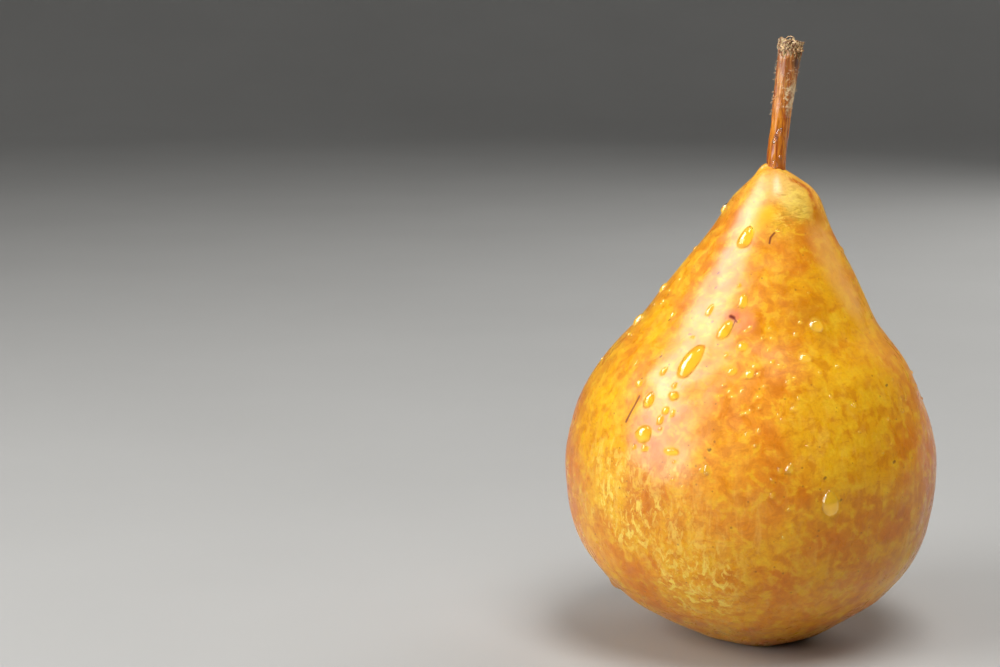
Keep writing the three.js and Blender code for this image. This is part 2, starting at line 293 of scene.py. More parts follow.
# Drops too small for the solids, in the same form
SMALL_DROPS = [
    [-24.2, 22.2, 0.8, 1.8, 0],
    [-16.1, 17.6, 1, 1.5, 0],
    [-16.3, 11.9, 1, 1.6, 0],
    [-24.3, 4.6, 0.9, 1.3, 0],
    [-6.7, 15.9, 1, 1, 0],
    [-5.9, 18.2, 1, 0.8, 0],
    [-2, 17.1, 0.9, 1.4, 0],
    [-4, 15.8, 0.9, 0.8, 0],
    [-1, 12.4, 1, 0.8, 0],
    [-2.1, 12.2, 0.8, 0.7, 0],
    [8.8, 13.4, 1.4, 1.1, 0],
    [17.7, 22.6, 1, 0.9, 0],
    [21.2, 14.4, 1, 1, 0],
    [22.5, 8.8, 0.7, 0.6, 0],
    [4.2, 23, 0.9, 1.2, 0],
    [4.9, 50.7, 1.3, 0.8, 0],
    [-16.8, 32.7, 1.3, 1.8, 8],
    [-1.4, 29.4, 1, 0.8, 0],
    [-5.4, 24.3, 0.8, 1.3, 0],
    [3.4, 25.6, 0.9, 0.9, 0],
    [4, 28.1, 0.9, 1, 0],
    [2.7, 18, 0.9, 0.8, 0],
    [1.4, 15.8, 0.9, 0.8, 0],
]
# Scratches in the skin, as [places, width], and dark specks, as [across, up, size], in the front view
SCRATCHES = [
    [[(-23.3, 15.3), (-24.4, 13.1), (-26, 9.9)], 0.28],
    [[(4.2, 50.2), (3.4, 49.2), (3.2, 48)], 0.26],
    [[(-3.7, 31.5), (-4.1, 30.4), (-5, 28.7), (-5.9, 28)], 0.16],
    [[(-3.9, 32.1), (-3.3, 31.3)], 0.2],
]
SPECKS = [
    [-7.5, 41.5, 0.45],
    [-8, 38.4, 0.4],
    [-8.5, 31.2, 0.4],
    [-13.2, 28.4, 0.4],
    [-17.6, 31.5, 0.4],
    [-19, 23.5, 0.45],
    [-8.6, 4.3, 0.45],
    [15.4, -1, 0.45],
    [18.8, -5.5, 0.4],
    [29.6, 2.7, 0.5],
    [27.6, 18.5, 0.45],
]
# Drops on the left edge of the front view, as [angle in degrees, height, wide, long]
EDGE_DROPS = [
    [186, 89.8, 1.8, 2.4],
    [187, 73.4, 2, 2.6],
    [184, 66.8, 2.2, 3.4],
    [190, 11.6, 3.6, 4.2],
]
# Drops on the stem's foot, as [angle in degrees, height, wide, long, turn]
STEM_DROPS = [
    [-95, 105.6, 1.1, 2.4, 30],
    [-112, 104.2, 0.9, 1.7, 25],
    [-100, 99.3, 1.2, 1.6, -30],
    [-70, 100.6, 0.9, 1.1, 0],
]
# Drops on the sides and the back, drawn as in the part's source
BACK_DROPS = {
    "count": 20,
    "seed": 7,
    "angle": (15, 165),
    "height": (44, 84),
    "wide": (1.8, 3.2),
    "stretch": (1, 1.6),
    "turn": (-25, 25),
}
LEHMER = {"factor": 16807, "modulus": 2**31 - 1}
# A fine spray of tiny drops in loose groups all round
SPRAY = {
    "groups": 16,
    "per_group": 6,
    "seed": 21,
    "spread": 5.5,
    "height": (40, 84),
    "limits": (20, 92),
    "wide": (0.35, 1),
    "stretch": (0.9, 1.4),
}

# Zones of the skin's colour round places of the front view, as [(across, up), reach, share, colour as seen]
BROAD_ZONES = [
    [(-3, 8), (19, 30, 27), 0.5, (240, 150, 48)],
    [(-30, 10), (14, 32, 34), 0.6, (250, 192, 32)],
    # The right zone is the golden right side, partly painted light: lightened where the upper right is lit
    [(21, 10), (16, 30, 30), 0.7, (240, 182, 26)],
]
CROWN_ZONES = [
    [(4.4, 59), (6, 7, 5), 0.45, (248, 204, 130)],
    [(9, 56.5), (5.5, 6, 5), 0.55, (240, 214, 100)],
]
SMUDGES = [
    [(11.5, 33), (6, 6, 6), 0.4, (196, 128, 24)],
    [(15, 28), (4, 4, 4), 0.4, (196, 128, 24)],
    [(-1.4, 31.2), (3.4, 5, 3.4), 0.5, (236, 134, 92)],
]
# Painted shade on the left and right sides, deeper orange where the outline darkens in the front view, and
# the paler neck, as [(x, y, height), reach, share, colour as seen]
EDGE_SHADE_AND_NECK_ZONES = [
    [(-41, 0, 36), (12, 34, 48), 0.75, (204, 92, 14)],
    [(41, 0, 36), (11, 34, 48), 0.75, (204, 92, 14)],
    [(5, -3, 100), (24, 24, 28), 0.6, (240, 184, 66)],
]
# Soft marks along lines of the front view, as [places, inner, outer, share, colour as seen]
SOFT_MARKS = [
    [[(-1.6, 50.4), (0.6, 52.2), (2.6, 54.4)], 0.4, 2.8, 0.8, (252, 184, 22)],
    # A painted highlight: a pale peach band down the right of the neck
    [[(13.6, 49), (17.5, 41), (20.5, 36)], 1, 5, 0.45, (250, 190, 104)],
]


def srgb(red, green, blue):
    """A colour as seen, 0 to 255, as the linear colour that a shader takes."""
    def linear(value):
        share = value / 255
        return share / 12.92 if share <= 0.04045 else ((share + 0.055) / 1.055) ** 2.4
    return (linear(red), linear(green), linear(blue), 1)


def spline_points(points, shares):
    """Points of the spline through all the given points, at shares of its spans from 0 to 1."""
    points = np.asarray(points, float)
    spans = len(points) - 1
    place = np.clip(shares, 0, 1) * spans
    first = np.minimum(place.astype(int), spans - 1)
    t = (place - first)[:, None]
    before = points[np.maximum(first - 1, 0)]
    start = points[first]
    end = points[first + 1]
    after = points[np.minimum(first + 2, spans)]
    leave = (end - before) / 2
    arrive = (after - start) / 2
    cubic = 2 * start - 2 * end + leave + arrive
    square = -3 * start + 3 * end - 2 * leave - arrive
    return cubic * t**3 + square * t**2 + leave * t + start


def even_rings(outline, count):
    """The outline's radius and height at evenly spaced places along it."""
    fine = spline_points(outline, np.linspace(0, 1, STEPS_PER_RING * count))
    run = np.concatenate([[0], np.cumsum(np.linalg.norm(np.diff(fine, axis=0), axis=1))])
    even = np.linspace(0, run[-1], count)
    return np.interp(even, run, fine[:, 0]), np.interp(even, run, fine[:, 1])


def full_turn(count):
    """Evenly spaced angles all the way round."""
    return np.linspace(0, 2 * math.pi, count, endpoint=False)


def round_points(x, y, radius, angle, height):
    """Points at a radius and an angle about the upright line through x and y."""
    return np.stack([x + radius * np.cos(angle), y + radius * np.sin(angle), height], -1)


def smooth_step(value, low, high):
    share = np.clip((value - low) / (high - low), 0, 1)
    return share * share * (3 - 2 * share)


def ripples(points, seed, length, height, count=14):
    """Smooth unevenness of about one length and height, as a sum of plane waves with seeded directions."""
    draw = np.random.default_rng(seed)
    total = np.zeros(points.shape[:-1])
    for _ in range(count):
        direction = draw.normal(size=3)
        direction /= np.linalg.norm(direction)
        rate = 2 * math.pi / (length * draw.uniform(0.7, 1.4))
        total += np.sin(points @ direction * rate + draw.uniform(0, 2 * math.pi))
    return height * total / math.sqrt(count / 2)


def wave(form, angle, height):
    fade = np.exp(-(((height - form["middle"]) / form["reach"]) ** 2))
    return form["share"] * np.cos(form["sides"] * angle + form["turn"]) * fade


def section_share(angle, height):
    return 1 + wave(OVAL, angle, height) + wave(SHOULDER, angle, height) + wave(LOBES, angle, height)


def section_middle(height):
    """The middle of the fruit's section at a height, as x and y."""
    rise = np.clip((height - NECK_LEAN["from"]) / (NECK_LEAN["to"] - NECK_LEAN["from"]), 0, 1)
    neck = rise ** NECK_LEAN["power"]
    foot = np.maximum((FOOT_LEAN["to"] - height) / FOOT_LEAN["to"], 0) ** FOOT_LEAN["power"]
    return neck * NECK_LEAN["x"] + foot * FOOT_LEAN["x"], neck * NECK_LEAN["y"]


OUTER = spline_points(OUTLINE, np.linspace(RIM_POINT / (len(OUTLINE) - 1), 1, SKIN_TABLE_POINTS))
STEM_SIDE = spline_points(STEM_OUTLINE[2:9], np.linspace(0, 1, STEM_TABLE_POINTS))


def skin_base(angle, height):
    """The skin's smooth surface above the resting rim."""
    radius = np.interp(height, OUTER[:, 1], OUTER[:, 0]) * section_share(angle, height)
    x, y = section_middle(height)
    return round_points(x, y, radius, angle, height + 0 * angle)


def stem_middle(height):
    """The middle of the stem at a height, as x and y."""
    x, y = section_middle(NECK_LEAN["to"])
    rise = np.maximum((height - CROWN_HEIGHT) / (STEM_TOP - CROWN_HEIGHT), 0) ** STEM_TILT["power"]
    return x + rise * STEM_TILT["x"], y + rise * STEM_TILT["y"]


def unit(vectors):
    return vectors / np.maximum(np.linalg.norm(vectors, axis=-1, keepdims=True), 1e-12)


def dent_places():
    """The skin's dents, as [angle, height, reach, depth]."""
    draw = np.random.default_rng(DENTS["seed"])
    limits = ((0, 2 * math.pi), DENTS["height"], DENTS["reach"], DENTS["depth"])
    return [[draw.uniform(least, most) for least, most in limits] for _ in range(DENTS["count"])]


DENT_PLACES = dent_places()


def skin_relief(points):
    """How far the real skin stands off its smooth surface, in millimetres."""
    relief = sum(ripples(points, seed, length, height) for seed, length, height in SKIN_WAVES)
    for angle, height, reach, depth in DENT_PLACES:
        place = skin_base(angle, height)
        distance = np.linalg.norm(points - place, axis=-1)
        relief -= depth * np.exp(-((distance / reach) ** 2))
    return relief


def skin_normal(angle, height):
    step = 0.01
    around = skin_base(angle + step, height) - skin_base(angle - step, height)
    upward = skin_base(angle, height + step * 10) - skin_base(angle, height - step * 10)
    return unit(np.cross(around, upward))


def skin_at(angle, height, lift=0.0):
    """A point on the real skin, or lifted off it, in millimetres."""
    base = skin_base(angle, height)
    stand = skin_relief(base) + lift
    return base + skin_normal(angle, height) * stand[..., None]


def under_skin(point):
    """The angle about the section's middle, and how far a point is inside the smooth skin there."""
    x, y = section_middle(point[2])
    angle = math.atan2(point[1] - y, point[0] - x)
    radius = np.interp(point[2], OUTER[:, 1], OUTER[:, 0]) * section_share(angle, point[2])
    return angle, radius - math.hypot(point[0] - x, point[1] - y)


def seen_from_front(across, up):
    """Where the line of sight through a place in the front view meets the skin, as angle and height."""
    belly = np.array([0, 0, BELLY_HEIGHT])
    towards_eye = np.array([0, -math.cos(VIEW_ELEVATION), math.sin(VIEW_ELEVATION)])
    up_in_view = np.array([0, math.sin(VIEW_ELEVATION), math.cos(VIEW_ELEVATION)])
    eye = belly + towards_eye * VIEW_DISTANCE
    place = belly + up_in_view * up + np.array([across, 0, 0])
    reach = np.linalg.norm(place - eye)
    sight = (place - eye) / reach
    outside, inside = reach - 2 * BELLY_RADIUS, reach
    for _ in range(SIGHT_HALVINGS):
        half = (outside + inside) / 2
        if under_skin(eye + sight * half)[1] < 0:
            outside = half
        else:
            inside = half
    met = eye + sight * inside
    return under_skin(met)[0], met[2]


def closed_mesh(name, grids):
    """One object of closed bodies. A grid holds rings of points, and its first and last rings are poles."""
    points, faces, start = [], [], 0
    for grid in grids:
        rings, sides = grid.shape[:2]
        inner = grid[1:-1].reshape(-1, 3)
        points += [grid[0].mean(0)[None], inner, grid[-1].mean(0)[None]]
        last = start + 1 + len(inner)
        near = np.arange(sides)
        far = (near + 1) % sides
        faces += [(start, start + 1 + b, start + 1 + a) for a, b in zip(near, far)]
        for ring in range(rings - 3):
            low = start + 1 + ring * sides
            high = low + sides
            faces += [(low + a, low + b, high + b, high + a) for a, b in zip(near, far)]
        top = last - sides
        faces += [(top + a, top + b, last) for a, b in zip(near, far)]
        start = last + 1
    mesh = bpy.data.meshes.new(name)
    mesh.from_pydata((np.concatenate(points) * MM).tolist(), [], [tuple(map(int, f)) for f in faces])
    mesh.shade_smooth()
    piece = bpy.data.objects.new(name, mesh)
    bpy.context.scene.collection.objects.link(piece)
    return piece


def grid_normals(grid):
    around = np.roll(grid, -1, 1) - np.roll(grid, 1, 1)
    along = np.gradient(grid, axis=0)
    return unit(np.cross(around, along))


def fruit_grid():
    radius, height = even_rings(OUTLINE, SKIN_RINGS)
    angle, radius = np.meshgrid(full_turn(SKIN_SIDES), radius)
    height = np.repeat(height[:, None], SKIN_SIDES, 1)
    x, y = section_middle(height)
    share = section_share(angle, height)
    near_rim = np.exp(-(((radius - RIM_RADIUS) / LOBE_RISE["reach"]) ** 2))
    rim_rise = LOBE_RISE["height"] * near_rim * (1 - np.cos(LOBES["sides"] * angle + LOBES["turn"])) / 2
    crown_rise = 0
    for rise, form_x, reach in CROWN_FORMS:
        distance = np.hypot(radius * np.cos(angle) - form_x, radius * np.sin(angle))
        crown_rise = crown_rise + rise * np.exp(-((distance / reach) ** 2))
    z = height + np.where(height < BASIN_DEPTH + 1, rim_rise, crown_rise)
    grid = round_points(x, y, radius * share, angle, z)
    normals = grid_normals(grid)
    crown = np.exp(-((radius / PUCKERS["reach"]) ** 2)) * smooth_step(height, *PUCKERS["above"])
    folds = np.sin(PUCKERS["count"] * angle + PUCKERS["sway"] * np.sin(2 * angle) + PUCKERS["twist"] * radius)
    puckers = PUCKERS["height"] * crown * folds
    grid = grid + normals * (skin_relief(grid) * (1 - RIM_SMOOTHING * near_rim) + puckers)[..., None]
    grid[..., 2] = np.maximum(grid[..., 2], 0)
    return grid


def surface_frame(surface, angle, height):
    """The side, upward and outward directions of a surface at a place."""
    step = 0.02
    around = surface(angle + step, height) - surface(angle - step, height)
    upward = surface(angle, height + 0.5) - surface(angle, height - 0.5)
    out = unit(np.cross(around, upward))
    up = unit(upward)
    return np.cross(up, out), up, out


def drop_axes(surface, place):
    """The ways across, along and out from the surface for a drop at [angle, height, wide, long, turn]."""
    angle, height, _, _, turn = place
    side, up, out = surface_frame(surface, angle, height)
    lean = math.radians(turn)
    across = side * math.cos(lean) - up * math.sin(lean)
    along = up * math.cos(lean) + side * math.sin(lean)
    return across, along, out


def drop_edge(turn_round, wide, long, draw):
    """How far a drop's uneven edge lies out, as a share of its half width or half length."""
    fullness = 2.5 if long > DROP["oblong"] * wide else 2
    edge = (abs(np.cos(turn_round)) ** fullness + abs(np.sin(turn_round)) ** fullness) ** (-1 / fullness)
    for swells, most in DROP_SWELLS:
        edge = edge + draw.uniform(0, most) * np.cos(swells * turn_round + draw.uniform(0, 2 * math.pi))
    return edge


def drop_grid(surface, middle_of, place, draw):
    """A drop of water as a closed grid: its underside just under the surface, then its round top."""
    angle, height, wide, long, _ = place
    across, along, _ = drop_axes(surface, place)
    steps, sides = SMALL_DROP_MESH if wide < SMALL_WIDTH else LARGE_DROP_MESH
    top_shares = np.sin(np.linspace(math.pi / 2, 0, steps))[1:]
    share = np.concatenate([np.linspace(0, 1, UNDERSIDE_RINGS), top_shares])
    is_top = np.arange(len(share)) >= UNDERSIDE_RINGS
    share, turn_round = np.meshgrid(share, full_turn(sides), indexing="ij")
    edge = drop_edge(turn_round, wide, long, draw)
    v = share * np.sin(turn_round) * edge
    fuller = 1 - DROP["sag"] * v
    u = share * np.cos(turn_round) * edge * fuller
    cos_contact = math.cos(DROP["contact"])
    cap = np.sqrt(np.maximum(1 - (math.sin(DROP["contact"]) * share) ** 2, 0)) - cos_contact
    rise = wide / 2 * math.tan(DROP["contact"] / 2) * cap / (1 - cos_contact) * fuller
    sunk = np.where(share > 0.99, DROP["edge_sink"], DROP["sink"] * (1 - 0.5 * share))
    lift = np.where(is_top[:, None], rise, -sunk)
    flat = surface(angle, height) + (u * wide / 2)[..., None] * across + (v * long / 2)[..., None] * along
    x, y = middle_of(flat[..., 2])
    return surface(np.arctan2(flat[..., 1] - y, flat[..., 0] - x), flat[..., 2], lift)


def back_drop_places():
    """The sides' and back's drops, as [angle, height, wide, long, turn], drawn by Lehmer's rule."""
    state = BACK_DROPS["seed"]
    places = []
    for _ in range(BACK_DROPS["count"]):
        values = []
        for name in ("angle", "height", "wide", "stretch", "turn"):
            state = state * LEHMER["factor"] % LEHMER["modulus"]
            least, most = BACK_DROPS[name]
            values.append(least + (most - least) * state / LEHMER["modulus"])
        angle, height, wide, stretch, turn = values
        places.append([math.radians(angle), height, wide, wide * stretch, turn])
    return places


def spray_places():
    draw = np.random.default_rng(SPRAY["seed"])
    places = []
    for _ in range(SPRAY["groups"]):
        angle, height = draw.uniform(0, 2 * math.pi), draw.uniform(*SPRAY["height"])
        for _ in range(SPRAY["per_group"]):
            z = float(np.clip(height + draw.normal() * SPRAY["spread"], *SPRAY["limits"]))
            turn = angle + draw.normal() * SPRAY["spread"] / np.interp(z, OUTER[:, 1], OUTER[:, 0])
            wide = draw.uniform(*SPRAY["wide"])
            places.append([turn, z, wide, wide * draw.uniform(*SPRAY["stretch"]), 0])
    return places


def drop_places():
    places = []
    for across, up, wide, long, turn in FRONT_DROPS + SMALL_DROPS:
        angle, height = seen_from_front(across, up)
        places.append([angle, height, wide, long, turn])
    places += [[math.radians(a), z, wide, long, 0] for a, z, wide, long in EDGE_DROPS]
    return places + back_drop_places() + spray_places()


def wetness(points, places):
    """How far each point of the skin lies under a drop, from 0 to 1."""
    wet = np.zeros(len(points))
    for place in places:
        angle, height, wide, long, _ = place
        across, along, out = drop_axes(skin_base, place)
        offset = points - skin_base(angle, height)
        reach = np.hypot(offset @ across / (wide / 2), offset @ along / (long / 2))
        reach = np.where(abs(offset @ out) < wide, reach, FAR_AWAY)
        wet = np.maximum(wet, 1 - smooth_step(reach, *WET_EDGE))
    return wet


def long_ripples(points, waves):
    """Unevenness that is drawn out along the stem."""
    return sum(ripples(points * [1, 1, share], seed, length, height) for seed, length, height, share in waves)


def stem_relief(points, height):
    """Wood grain along the stem, and pits between the fibres of its torn end."""
    above = smooth_step(height, *TORN_FROM)
    wood = long_ripples(points, WOOD_WAVES) - WOOD_SINK
    torn = long_ripples(points, TORN_WAVES) - TORN_SINK
    return wood * (1 - above) + torn * above


def stem_place(radius, angle, height):
    x, y = stem_middle(height)
    above = np.clip((height - CROWN_HEIGHT) / (STEM_TOP - CROWN_HEIGHT), 0, 1)
    share = 1 + RIDGES["share"] * above * np.cos(RIDGES["sides"] * angle + RIDGES["turn"])
    rough = np.sin(5 * angle + 3 * radius) + np.sin(3 * angle - 4 * radius)
    end = ROUGH_END["depth"] * rough - ROUGH_END["slant"] * radius * np.cos(angle)
    z = height + np.where(height > KNOB_FROM, end * smooth_step(height, KNOB_FROM, KNOB_FROM + 0.6), 0)
    return round_points(x, y, radius * share, angle, z)


def stem_surface(angle, height, lift=0.0):
    """A point on the stem's smooth side, or lifted off it."""
    radius = np.interp(height, STEM_SIDE[:, 1], STEM_SIDE[:, 0]) + lift
    return stem_place(radius, angle, height)


def stem_grid():
    radius, height = even_rings(STEM_OUTLINE, STEM_RINGS)
    angle, radius = np.meshgrid(full_turn(STEM_SIDES), radius)
    height = np.repeat(height[:, None], STEM_SIDES, 1)
    grid = stem_place(radius, angle, height)
    return grid + grid_normals(grid) * stem_relief(grid, height)[..., None]


def strand_grid(path, radii, sides=7):
    """A thin strand of given radii along a path, as a closed grid."""
    path = np.asarray(path, float)
    ahead = unit(np.gradient(path, axis=0))
    helper = np.array([0.3, 0.2, 1.0]) if abs(ahead[0][2]) < 0.8 else np.array([1.0, 0.3, 0.1])
    side = unit(np.cross(ahead, helper))
    other = np.cross(ahead, side)
    turn = full_turn(sides)
    ring = np.cos(turn)[None, :, None] * side[:, None] + np.sin(turn)[None, :, None] * other[:, None]
    return path[:, None] + ring * np.asarray(radii, float)[:, None, None]


def torn_fibre_grids():
    """Straw-like fibres that stand on the stem's torn end."""
    draw = np.random.default_rng(TORN_FIBRES["seed"])
    rise = np.linspace(0, 1, len(TORN_PROFILE))
    grids = []
    for _ in range(TORN_FIBRES["count"]):
        angle = draw.uniform(0, 2 * math.pi)
        place = math.sqrt(draw.uniform(0.02, 1))
        low = KNOB_FROM + draw.uniform(*TORN_FIBRES["foot"]) * place
        slant = ROUGH_END["slant"] * TORN_FIBRES["slant_reach"] * place * math.cos(angle)
        high = STEM_TOP - TORN_FIBRES["below_top"] + draw.uniform(*TORN_FIBRES["tip"]) - slant
        height = low + (high - low) * rise
        spread = place * (TORN_FIBRES["ring"] + draw.uniform(*TORN_FIBRES["flare"]) * rise)
        bend = angle + draw.normal() * TORN_FIBRES["bend"] * rise
        x, y = stem_middle(height)
        path = round_points(x, y, spread, bend, height)
        grids.append(strand_grid(path, draw.uniform(*TORN_FIBRES["radius"]) * TORN_PROFILE))
    return grids


def curl_grid():
    """The small fibre that curls off the torn end."""
    turn = np.linspace(0, math.pi * CURL["turns"], CURL["points"])
    start = np.add([*stem_middle(STEM_TOP), STEM_TOP], CURL["from_top"])
    curl = [CURL["half_width"] * np.cos(turn), CURL["drift"] * turn, CURL["rise"] * np.sin(turn)]
    taper = np.sin(np.linspace(0.3, math.pi - 0.3, CURL["points"]))
    return strand_grid(start + np.stack(curl, -1), CURL["radius"] * taper)


def fuzz_grids():
    """Short pale hairs on the upper half of the stem."""
    draw = np.random.default_rng(FUZZ["seed"])
    along = np.linspace(0, 1, len(FUZZ_PROFILE))
    grids = []
    for _ in range(FUZZ["count"]):
        angle = draw.uniform(0, 2 * math.pi)
        height = draw.uniform(*FUZZ["height"])
        root = stem_surface(angle, height, FUZZ["root"])
        tip_angle = angle + draw.normal() * FUZZ["sway"]
        tip_height = height + draw.normal() * FUZZ["drop"]
        tip = stem_surface(tip_angle, tip_height, draw.uniform(*FUZZ["length"]))
        path = root + (tip - root) * along[:, None]
        path[:, 2] += FUZZ["arch"] * np.sin(math.pi * along)
        grids.append(strand_grid(path, FUZZ["radius"] * FUZZ_PROFILE, 5))
    return grids


def straight_grid(outline, rings, sides):
    """An outline of straight runs turned about the axis, as a closed grid."""
    outline = np.asarray(outline, float)
    run = np.concatenate([[0], np.cumsum(np.linalg.norm(np.diff(outline, axis=0), axis=1))])
    even = np.linspace(0, run[-1], rings)
    radius = np.interp(even, run, outline[:, 0])[:, None]
    height = np.interp(even, run, outline[:, 1])[:, None]
    return round_points(0, 0, radius, full_turn(sides), np.repeat(height, sides, 1))


def sepal_grid(number, draw):
    """A dried sepal: a narrowing, cupped and crinkled blade that droops to its tip."""
    along, turn = np.meshgrid(np.linspace(0, 1, SEPALS["rings"]), full_turn(SEPALS["sides"]), indexing="ij")
    swell = np.sqrt(np.maximum(1 - (2 * along - 1) ** 2, 0))
    side = swell * np.cos(turn)
    x = side * SEPALS["half_width"] * (1 - SEPALS["taper"] * along)
    y = CALYX["tube_radius"] - SEPALS["sink"] + along * SEPALS["length"]
    z = swell * np.sin(turn) * SEPALS["half_thickness"] * SEPALS["flatness"] - SEPALS["droop"] * along**2
    cup = SEPALS["cup"] * side**2 * draw.uniform(-1, 1)
    z += cup + SEPALS["crinkle"] * np.sin(9 * along + 4 * side + draw.uniform(0, 6))
    x += SEPALS["sway"] * np.sin(6 * along + draw.uniform(0, 6)) * along
    angle = SEPALS["turn"] + number / SEPALS["count"] * 2 * math.pi - math.pi / 2
    east = x * math.cos(angle) - y * math.sin(angle)
    north = x * math.sin(angle) + y * math.cos(angle)
    grid = np.stack([east, north, z + CALYX["mouth"] + SEPALS["half_thickness"]], -1)
    return grid[::-1]


def tube_grid():
    """The calyx's felted tube with its bore."""
    tube, bore = CALYX["tube_radius"], CALYX["bore_radius"]
    mouth, roof, root = CALYX["mouth"], CALYX["roof"], CALYX["root"]
    outline = [[0, roof], [bore, roof], [bore, mouth], [tube, mouth], [tube, root], [0, root]]
    grid = straight_grid(outline, CALYX["rings"], CALYX["sides"])
    return grid + unit(grid * [1, 1, 0]) * ripples(grid, **FELT_WAVE)[..., None]


def style_grid(number, draw):
    """A withered style that reaches out of the calyx's bore."""
    angle = number / STYLES["count"] * 2 * math.pi
    rise = np.linspace(0, 1, len(STYLE_PROFILE))
    reach = STYLES["ring"] * (1 + STYLES["spread"] * draw.normal() * (1 - rise))
    height = STYLES["tip"] + rise * (CALYX["roof"] + STYLES["sunk"] - STYLES["tip"])
    path = round_points(0, 0, reach, angle, height)
    return strand_grid(path, STYLES["radius"] * STYLE_PROFILE, 9)


def stamen_grid(number, draw):
    """A dried stamen on the calyx's mouth."""
    angle = (number + draw.uniform(-0.3, 0.3)) / STAMENS["count"] * 2 * math.pi
    fall = np.linspace(0, 1, len(STAMEN_PROFILE))
    reach = STAMENS["ring"] + STAMENS["flare"] * fall * draw.uniform(-0.6, 0.5)
    bend = angle + draw.normal() * STAMENS["bend"] * fall**2
    height = CALYX["mouth"] + STAMENS["sunk"] - fall * draw.uniform(*STAMENS["length"])
    path = round_points(0, 0, reach, bend, height)
    return strand_grid(path, STAMENS["radius"] * STAMEN_PROFILE, 6)


def flower_end_grids():
    """The calyx tube with its sepals, withered styles and stamens."""
    draw = np.random.default_rng(STAMENS["seed"])
    grids = [tube_grid()]
    grids += [sepal_grid(number, draw) for number in range(SEPALS["count"])]
    grids += [style_grid(number, draw) for number in range(STYLES["count"])]
    grids += [stamen_grid(number, draw) for number in range(STAMENS["count"])]
    x, y = section_middle(CALYX["mouth"])
    return [grid + [x, y, 0] for grid in grids]


class Paint:
    """Builds one material's nodes, and holds its colour so far and what makes its zones ragged."""

    def __init__(self, name):
        self.material = bpy.data.materials.new(name)
        self.material.use_nodes = True
        self.tree = self.material.node_tree
        self.shader = self.tree.nodes["Principled BSDF"]
        coordinates = self.node("TexCoord").outputs["Object"]
        self.place = self.vector("SCALE", coordinates, scale=1 / MM)
        self.colour = None
        self.ragged = None

    def put(self, socket, value):
        if isinstance(value, bpy.types.NodeSocket):
            self.tree.links.new(value, socket)
        else:
            socket.default_value = value

    def fill(self, node, values):
        """Sets a node's sockets, named with _ for a space."""
        for name, value in values.items():
            self.put(node.inputs[name.replace("_", " ")], value)

    def set(self, **values):
        self.fill(self.shader, values)

    def node(self, kind, **values):
        node = self.tree.nodes.new("ShaderNode" + kind)
        self.fill(node, values)
        return node

    def vector(self, operation, first, second=None, scale=None):
        node = self.node("VectorMath")
        node.operation = operation
        self.put(node.inputs[0], first)
        if second is not None:
            self.put(node.inputs[1], second)
        if scale is not None:
            self.put(node.inputs["Scale"], scale)
        return node.outputs["Value" if operation in ("LENGTH", "DOT_PRODUCT") else "Vector"]

    def math(self, operation, first, second):
        node = self.node("Math")
        node.operation = operation
        self.put(node.inputs[0], first)
        self.put(node.inputs[1], second)
        return node.outputs[0]

    def range(self, value, low, high, to_low=0.0, to_high=1.0):
        node = self.node("MapRange")
        node.interpolation_type = "SMOOTHSTEP"
        for socket, given in zip(node.inputs, (value, low, high, to_low, to_high)):
            self.put(socket, given)
        return node.outputs[0]

    def mix(self, factor, first, second):
        node = self.node("Mix")
        node.data_type = "RGBA"
        self.put(node.inputs[0], factor)
        self.put(node.inputs[6], first)
        self.put(node.inputs[7], second)
        return node.outputs[2]

    def tint(self, mask, seen, share=None):
        """Turns the colour by a mask, or a share of it, towards another one, which is given as it is seen."""
        factor = mask if share is None else self.math("MULTIPLY", mask, share)
        self.colour = self.mix(factor, self.colour, srgb(*seen))

    def noise(self, length, detail=3.0, roughness=0.5, distortion=0.0, stretch=(1, 1, 1), shift=0.0):
        """Noise whose features are about length millimetres long, stretched along the axes."""
        scaled = self.vector("MULTIPLY", self.place, tuple(1 / (length * s) for s in stretch))
        moved = self.vector("ADD", scaled, (shift, shift, shift))
        look = {"Detail": detail, "Roughness": roughness, "Distortion": distortion}
        return self.node("TexNoise", Vector=moved, Scale=1.0, **look).outputs["Fac"]

    def cells(self, length):
        """Distance to the nearest of points scattered about length millimetres apart, and a random share."""
        scaled = self.vector("SCALE", self.place, scale=1 / length)
        node = self.node("TexVoronoi", Vector=scaled, Scale=1.0)
        split = self.node("SeparateColor", Color=node.outputs["Color"])
        return node.outputs["Distance"], split.outputs[0]

    def zone(self, point, reach):
        """A soft mask that is 1 at a point and fades to 0 at a reach given along each axis."""
        offset = self.vector("SUBTRACT", self.place, tuple(map(float, point)))
        scaled = self.vector("MULTIPLY", offset, tuple(1 / r for r in reach))
        distance = self.vector("LENGTH", scaled)
        if self.ragged is not None:
            distance = self.math("ADD", distance, self.ragged)
        return self.range(distance, 0.25, 1.0, 1.0, 0.0)

    def line(self, start, end, inner, outer, out):
        """A mask that is 1 within an inner distance of a line on the skin and 0 beyond an outer one.

        The distance counts only a fifth along out, the way that the skin faces, because the skin isn't flat.
        """
        run = np.subtract(end, start)
        offset = self.vector("SUBTRACT", self.place, tuple(map(float, start)))
        depth = self.math("MULTIPLY", self.vector("DOT_PRODUCT", offset, tuple(map(float, out))), 0.8)
        offset = self.vector("SUBTRACT", offset, self.vector("SCALE", tuple(map(float, out)), scale=depth))
        share = self.math("MULTIPLY", self.vector("DOT_PRODUCT", offset, tuple(run)), 1 / float(run @ run))
        share = self.math("MINIMUM", self.math("MAXIMUM", share, 0.0), 1.0)
        nearest = self.vector("SCALE", tuple(run), scale=share)
        distance = self.vector("LENGTH", self.vector("SUBTRACT", offset, nearest))
        return self.range(distance, inner, outer, 1.0, 0.0)

    def bump(self, height, strength, distance, under=None):
        node = self.node("Bump", Strength=strength, Distance=distance * MM, Height=height)
        if under is not None:
            self.put(node.inputs["Normal"], under)
        return node.outputs["Normal"]

    def attribute(self, name):
        node = self.node("Attribute")
        node.attribute_name = name
        return node.outputs["Fac"]


def skin_point_seen(across, up):
    angle, height = seen_from_front(across, up)
    return skin_base(angle, height)


